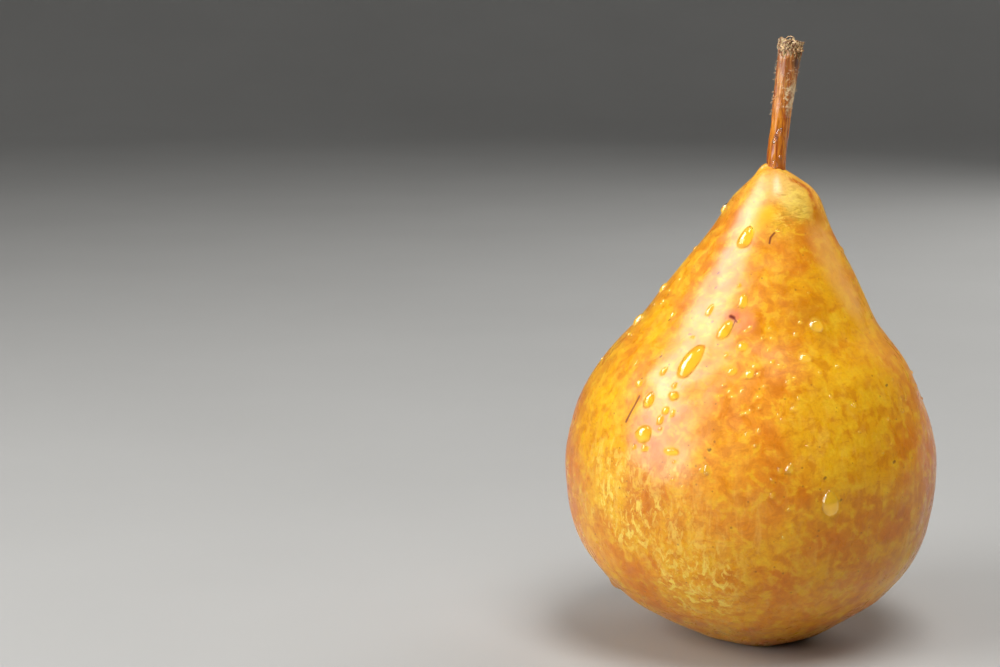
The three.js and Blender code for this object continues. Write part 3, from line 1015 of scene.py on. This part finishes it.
def mark_seen(paint, places, inner, outer):
    """A mask along a line of places, given as (across, up) in the front view."""
    mask = 0.0
    for start, end in zip(places, places[1:]):
        angle, height = seen_from_front(*np.add(start, end) / 2)
        out = skin_normal(angle, height)
        run = paint.line(skin_point_seen(*start), skin_point_seen(*end), inner, outer, out)
        mask = paint.math("MAXIMUM", mask, run)
    return mask


def tint_zones(paint, zones):
    """Tints the paint in soft zones round places of the front view."""
    for place, reach, share, seen in zones:
        zone = paint.zone(skin_point_seen(*place), reach)
        paint.tint(zone, seen, share)


def paint_ground(paint, mixed):
    """The golden ground with patches, an orange blush, a right side partly lightened as painted light,
    painted shade on the sides, a paler neck and mottle.
    """
    paint.colour = paint.mix(paint.range(mixed, 0.35, 0.65), srgb(234, 156, 14), srgb(222, 130, 14))
    patches = paint.noise(12, 4, 0.55, 0.9, shift=5)
    paint.tint(paint.range(patches, 0.42, 0.66, 0, 0.65), (246, 184, 20))
    # The right one of these zones is partly painted light, lightening the upper right
    tint_zones(paint, BROAD_ZONES)
    # Painted shade: the left and right sides are deepened to orange where the outline darkens
    for place, reach, share, seen in EDGE_SHADE_AND_NECK_ZONES:
        paint.tint(paint.zone(place, reach), seen, share)
    mottle = paint.noise(2.6, 4, 0.62, 0.6, shift=19)
    paint.tint(paint.range(mottle, 0.5, 0.66, 0, 0.5), (250, 206, 48))
    paint.tint(paint.range(mottle, 0.5, 0.36, 0, 0.45), (200, 104, 8))


def paint_streaks(paint, streaks):
    """Upright pale streaks on the lower half, and faint bands round the fruit."""
    lower = paint.zone((0, 0, 16), (60, 60, 44))
    streak_share = paint.math("MULTIPLY", paint.range(streaks, 0.48, 0.7), paint.math("ADD", lower, 0.35))
    paint.tint(streak_share, (252, 198, 88), 0.4)
    bands = paint.noise(2.2, 3, 0.6, 0.5, stretch=(4, 4, 0.7), shift=11)
    paint.tint(paint.range(bands, 0.5, 0.76, 0, 0.3), (206, 112, 34))


def paint_flecks(paint):
    """Pale flecks on the lower left, and dull brown round the foot."""
    coarse = paint.range(paint.noise(2.1, 4, 0.6, 1.1, stretch=(1, 1, 1.9), shift=2), 0.54, 0.6)
    fine = paint.range(paint.noise(1.1, 3, 0.6, 0.8, stretch=(1, 1, 1.7), shift=8), 0.52, 0.62, 0, 0.6)
    flecks = paint.math("MAXIMUM", coarse, fine)
    low_left = paint.zone(skin_point_seen(-26, -8), (17, 17, 20))
    low_middle = paint.zone(skin_point_seen(-13, -24), (17, 17, 13))
    low = paint.math("MAXIMUM", low_left, low_middle)
    paint.tint(flecks, (255, 220, 96), low)
    russet = paint.zone((FOOT_LEAN["x"], 0, 2), (15, 15, 6))
    paint.tint(russet, (170, 116, 50), 0.5)


def paint_dots(paint):
    """Scattered olive dots on the upper left."""
    distance, chance = paint.cells(2.6)
    dot = paint.range(distance, 0.06, 0.12, 1.0, 0.0)
    dots = paint.math("MULTIPLY", dot, paint.range(chance, 0.25, 0.35))
    upper_left = paint.zone(skin_point_seen(-17, 25), (22, 30, 28))
    paint.tint(dots, (122, 84, 36), paint.math("MULTIPLY", upper_left, 0.8))


def pore_mask(paint):
    """Small round pores of many sizes all over the skin."""
    distance, chance = paint.cells(1.7)
    pore_size = paint.range(chance, 0.35, 1.0, 0.02, 0.19)
    return paint.range(distance, paint.math("MULTIPLY", pore_size, 0.5), pore_size, 1.0, 0.0)


def skin_material():
    """Golden skin with an orange blush, paler flecks, streaks, pores, a small scar and wet places, painted
    brighter under the drops as painted light.
    """
    paint = Paint("skin")
    mixed = paint.noise(15, 4, 0.55, 0.4)
    paint.ragged = paint.range(mixed, 0.3, 0.7, -0.3, 0.3)
    streaks = paint.noise(1.7, 4, 0.6, 0.6, stretch=(1, 1, 5), shift=3)
    grain = paint.noise(0.55, 3, 0.6, 0.3, shift=7)
    pores = pore_mask(paint)

    paint_ground(paint, mixed)
    paint_streaks(paint, streaks)
    paint_flecks(paint)
    paint_dots(paint)
    paint.tint(pores, (150, 84, 26), 0.55)
    paint.tint(paint.range(grain, 0.35, 0.75, 0.0, 0.25), (190, 104, 20))

    paint_crown(paint)
    paint_marks(paint)
    scar = mark_seen(paint, [(-4.6, 32.5), (-4, 32.2)], 0.05, 0.7)
    paint.tint(scar, (112, 22, 2))

    wet = paint.attribute("wet")
    # Painted light: the skin under the drops is tinted bright yellow to stand in for light that comes through
    # the water
    paint.tint(wet, (255, 198, 36), 0.85)
    breaks = paint.noise(3.4, 4, 0.6, 0.6, stretch=(1, 1, 1.8), shift=13)
    gloss = paint.range(breaks, 0.35, 0.65, 0.24, 0.42)
    dull = paint.math("MAXIMUM", wet, scar)
    gloss = paint.math("ADD", gloss, paint.math("MULTIPLY", dull, 0.5))
    normal = paint.bump(mixed, 0.2, 1.0)
    normal = paint.bump(breaks, 0.12, 0.25, normal)
    normal = paint.bump(streaks, 0.12, 0.12, normal)
    normal = paint.bump(grain, 0.14, 0.06, normal)
    normal = paint.bump(pores, 0.3, -0.08, normal)
    paint.set(
        Base_Color=paint.colour,
        Roughness=gloss,
        Normal=normal,
        Subsurface_Weight=0.18,
        Subsurface_Radius=(1.0, 0.45, 0.15),
        Subsurface_Scale=0.003,
        IOR=1.33,
        Coat_Weight=paint.range(dull, 0.0, 0.6, 0.28, 0.0),
        Coat_Roughness=0.26,
    )
    return paint.material


def paint_crown(paint):
    """Cream beside the stem's foot, brown and pale wrinkles on the crown's right, and its orange lip."""
    tint_zones(paint, CROWN_ZONES)
    dashes = paint.noise(0.9, 4, 0.65, 1.2, stretch=(2.4, 2.4, 0.8), shift=17)
    crown_right = paint.zone(skin_point_seen(7.5, 55), (7.5, 9, 8))
    dark_dashes = paint.math("MULTIPLY", paint.range(dashes, 0.5, 0.62), crown_right)
    paint.tint(dark_dashes, (190, 134, 34), 0.5)
    light_dashes = paint.math("MULTIPLY", paint.range(dashes, 0.46, 0.38), crown_right)
    paint.tint(light_dashes, (252, 224, 104), 0.5)
    broken = paint.range(paint.noise(1.6, 3, 0.6, 0.6, shift=23), 0.36, 0.56, 0.3, 1.0)
    ring = mark_seen(paint, [(8, 61.6), (10.8, 60), (12, 57.2), (12.8, 54)], 0.2, 1.3)
    paint.tint(ring, (198, 106, 12), broken)
    amber = paint.zone(skin_point_seen(13.2, 53.6), (2.6, 4, 3.2))
    paint.tint(amber, (210, 130, 14), 0.7)
    lip = mark_seen(paint, [(0.4, 62.4), (2.6, 63.8)], 0.6, 2.4)
    paint.tint(lip, (226, 150, 24), 0.6)


def paint_marks(paint):
    """A wet golden patch, a painted highlight down the right of the neck, olive and pink smudges, the scar's
    red halo, scratches and specks.
    """
    # The second soft mark is a painted highlight, a pale peach band down the right of the neck
    for line, inner, outer, share, seen in SOFT_MARKS:
        paint.tint(mark_seen(paint, line, inner, outer), seen, share)
    tint_zones(paint, SMUDGES)
    halo = mark_seen(paint, [(-5, 32.9), (-3.8, 32.6)], 0.5, 1.7)
    paint.tint(halo, (222, 84, 30), 0.6)
    for line, width in SCRATCHES:
        scratch = mark_seen(paint, line, width / 2, width)
        paint.tint(scratch, (122, 50, 14), 0.9)
    for across, up, size in SPECKS:
        speck = mark_seen(paint, [(across, up), (across + size / 2, up + size / 2)], size / 4, size * 0.8)
        paint.tint(speck, (96, 52, 34), 0.7)


def stem_material():
    """Orange-brown wood, moist at its foot, with pale streaks, crusty scurf and a torn straw-coloured end."""
    paint = Paint("stem_wood")
    height = paint.node("SeparateXYZ", Vector=paint.place).outputs["Z"]
    streaks = paint.noise(0.7, 4, 0.6, 0.4, stretch=(1, 1, 8))
    spots = paint.noise(1.1, 4, 0.65, 0.6, shift=4)
    paint.colour = paint.mix(paint.range(streaks, 0.35, 0.65), srgb(160, 74, 8), srgb(226, 140, 30))
    aged = paint.mix(paint.range(streaks, 0.4, 0.6), srgb(158, 84, 22), srgb(220, 152, 78))
    paint.colour = paint.mix(paint.range(height, 108, 119), paint.colour, aged)
    dark = paint.zone((8.2, -1, 119.8), (1.9, 3.4, 2.2))
    paint.ragged = paint.range(spots, 0.3, 0.7, -0.5, 0.5)
    crust = paint.zone((7.2, -1, 113.2), (1.9, 3.4, 4.4))
    paint.tint(crust, (238, 214, 168), 0.9)
    paint.tint(dark, (66, 28, 10), 0.8)
    ragged_height = paint.math("ADD", height, paint.range(streaks, 0.3, 0.7, -1.6, 1.6))
    torn = paint.range(ragged_height, KNOB_FROM - 0.8, KNOB_FROM + 0.2)
    fibres = paint.range(paint.noise(0.42, 4, 0.7, 0.8, stretch=(1, 1, 2.2), shift=9), 0.4, 0.58)
    straw = paint.mix(fibres, srgb(112, 68, 30), srgb(226, 190, 138))
    paint.colour = paint.mix(torn, paint.colour, straw)
    rough = paint.range(height, 104, 116, 0.2, 0.42)
    rough = paint.math("ADD", rough, paint.math("MULTIPLY", paint.math("MAXIMUM", torn, crust), 0.35))
    normal = paint.bump(streaks, 0.5, 0.2)
    normal = paint.bump(fibres, paint.math("MULTIPLY", torn, 0.5), 0.15, normal)
    normal = paint.bump(spots, paint.math("MULTIPLY", crust, 0.8), 0.25, normal)
    paint.set(
        Base_Color=paint.colour,
        Roughness=rough,
        Normal=normal,
        Subsurface_Weight=0.08,
        Subsurface_Scale=0.001,
        Coat_Weight=0.3,
        Coat_Roughness=0.15,
    )
    return paint.material


def fuzz_material():
    """Pale dry hairs."""
    paint = Paint("stem_fuzz")
    tone = paint.noise(0.8)
    paint.set(Base_Color=paint.mix(tone, srgb(190, 150, 104), srgb(236, 214, 176)), Roughness=0.7)
    return paint.material


def flower_end_material():
    """Dry, felted brown of the withered flower."""
    paint = Paint("dried_flower")
    felt = paint.noise(0.5, 5, 0.7, 0.5)
    tone = paint.noise(1.8, 3, 0.6, shift=3)
    paint.colour = paint.mix(paint.range(tone, 0.35, 0.65), srgb(60, 42, 28), srgb(112, 82, 52))
    paint.tint(paint.range(felt, 0.5, 0.7, 0, 0.6), (158, 132, 98))
    paint.set(
        Base_Color=paint.colour,
        Roughness=paint.range(felt, 0.3, 0.7, 0.75, 0.95),
        Normal=paint.bump(felt, 0.6, 0.15),
    )
    return paint.material


def water_material():
    """Clear water, through which the skin shows deeper; the skin under it is also painted brighter, as
    painted light.
    """
    paint = Paint("water")
    paint.set(
        Base_Color=(1, 1, 1, 1),
        Roughness=0.0,
        IOR=1.333,
        Transmission_Weight=1.0,
        Coat_Weight=1.0,
        Coat_Roughness=0.0,
        Coat_IOR=1.5,
    )
    return paint.material


def floor_material():
    paint = Paint("floor")
    tone = paint.noise(90, 3, 0.5)
    paint.set(Base_Color=paint.mix(tone, srgb(172, 171, 168), srgb(180, 179, 176)), Roughness=0.7)
    return paint.material


def make_fruit(places):
    grid = fruit_grid()
    piece = closed_mesh("pear_skin", [grid])
    points = np.array([v.co for v in piece.data.vertices]) / MM
    layer = piece.data.attributes.new("wet", "FLOAT", "POINT")
    layer.data.foreach_set("value", wetness(points, places).astype(np.float32))
    piece.data.materials.append(skin_material())
    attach(piece, "root")
    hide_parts("fruit")


def make_drops(places):
    draw = np.random.default_rng(DROP_SEED)
    grids = [drop_grid(skin_at, section_middle, place, draw) for place in places]
    for angle, *rest in STEM_DROPS:
        grids.append(drop_grid(stem_surface, stem_middle, [math.radians(angle), *rest], draw))
    piece = closed_mesh("water_drops", grids)
    piece.data.materials.append(water_material())
    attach(piece, "root")
    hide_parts("fruit")


def make_stem():
    piece = closed_mesh("pear_stem", [stem_grid(), curl_grid()] + torn_fibre_grids())
    piece.data.materials.append(stem_material())
    fuzz = closed_mesh("stem_fuzz", fuzz_grids())
    fuzz.data.materials.append(fuzz_material())
    for part in (piece, fuzz):
        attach(part, "root")
        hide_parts("stem")


def make_flower_end():
    piece = closed_mesh("flower_end", flower_end_grids())
    piece.data.materials.append(flower_end_material())
    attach(piece, "root")
    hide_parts("calyx")


def make_floor():
    """A pale floor that curves up to a wall all round, so that every view has the same plain ground."""
    turn = np.linspace(0, math.pi / 2, FLOOR["steps"])
    reach = FLOOR["flat"] + FLOOR["curve"] * np.sin(turn)
    height = FLOOR["curve"] * (1 - np.cos(turn))
    rings = list(zip(reach, height)) + [(reach[-1], FLOOR["wall"])]
    sides = FLOOR["sides"]
    points = [(0, 0, 0)] + [(r * math.cos(a), r * math.sin(a), z) for r, z in rings for a in full_turn(sides)]
    faces = [(0, 1 + i, 1 + (i + 1) % sides) for i in range(sides)]
    for ring in range(len(rings) - 1):
        low = 1 + ring * sides
        for i in range(sides):
            j = (i + 1) % sides
            faces.append((low + i, low + sides + i, low + sides + j, low + j))
    mesh = bpy.data.meshes.new("floor")
    mesh.from_pydata([tuple(map(float, p)) for p in points], [], faces)
    mesh.shade_smooth()
    floor = bpy.data.objects.new("floor", mesh)
    floor.data.materials.append(floor_material())
    bpy.context.scene.collection.objects.link(floor)


def soft_light(name, place, aim, size, radiance, seen_in):
    """A soft lamp at a place, facing the way of aim, as bright as the given radiance."""
    lamp = bpy.data.lights.new(name, "AREA")
    lamp.shape = "RECTANGLE"
    lamp.size, lamp.size_y = size
    lamp.energy = radiance * math.pi * size[0] * size[1]
    light = bpy.data.objects.new(name, lamp)
    light.location = place
    light.rotation_euler = Vector(aim).to_track_quat("-Z", "Y").to_euler()
    light.visible_camera = False
    light.visible_diffuse = "diffuse" in seen_in
    light.visible_glossy = "glossy" in seen_in
    light.visible_transmission = "transmission" in seen_in
    bpy.context.scene.collection.objects.link(light)


def make_lights():
    for lamp in LAMPS:
        soft_light(*lamp)
    world = bpy.data.worlds.new("studio")
    bpy.context.scene.world = world
    world.use_nodes = True
    background = world.node_tree.nodes["Background"]
    background.inputs["Color"].default_value = WORLD["colour"]
    background.inputs["Strength"].default_value = WORLD["strength"]
    bpy.context.scene.view_settings.view_transform = "Standard"


def make_camera():
    """Stands at the photograph's viewing angle, turned so that the belly's middle falls on its pixel."""
    focal = PIXELS_PER_MM * VIEW_DISTANCE
    right = BELLY_PIXEL[0] - IMAGE_SIZE[0] / 2
    down = BELLY_PIXEL[1] - IMAGE_SIZE[1] / 2
    reach = math.sqrt(focal**2 + right**2 + down**2)
    yaw = math.asin(right / (reach * math.cos(VIEW_ELEVATION)))
    pitch = math.atan2(math.sin(VIEW_ELEVATION), math.cos(yaw) * math.cos(VIEW_ELEVATION))
    pitch -= math.atan2(down, focal)
    data = bpy.data.cameras.new("camera")
    data.sensor_width = SENSOR_WIDTH
    data.lens = SENSOR_WIDTH * focal / IMAGE_SIZE[0]
    camera = bpy.data.objects.new("camera", data)
    towards_eye = Vector((0, -math.cos(VIEW_ELEVATION), math.sin(VIEW_ELEVATION)))
    camera.location = Vector((0, 0, BELLY_HEIGHT * MM)) + towards_eye * VIEW_DISTANCE * MM
    camera.rotation_euler = (math.pi / 2 - pitch, 0, yaw)
    bpy.context.scene.collection.objects.link(camera)
    bpy.context.scene.camera = camera


places = drop_places()
make_camera()
make_floor()
make_lights()
make_fruit(places)
make_drops(places)
make_stem()
make_flower_end()
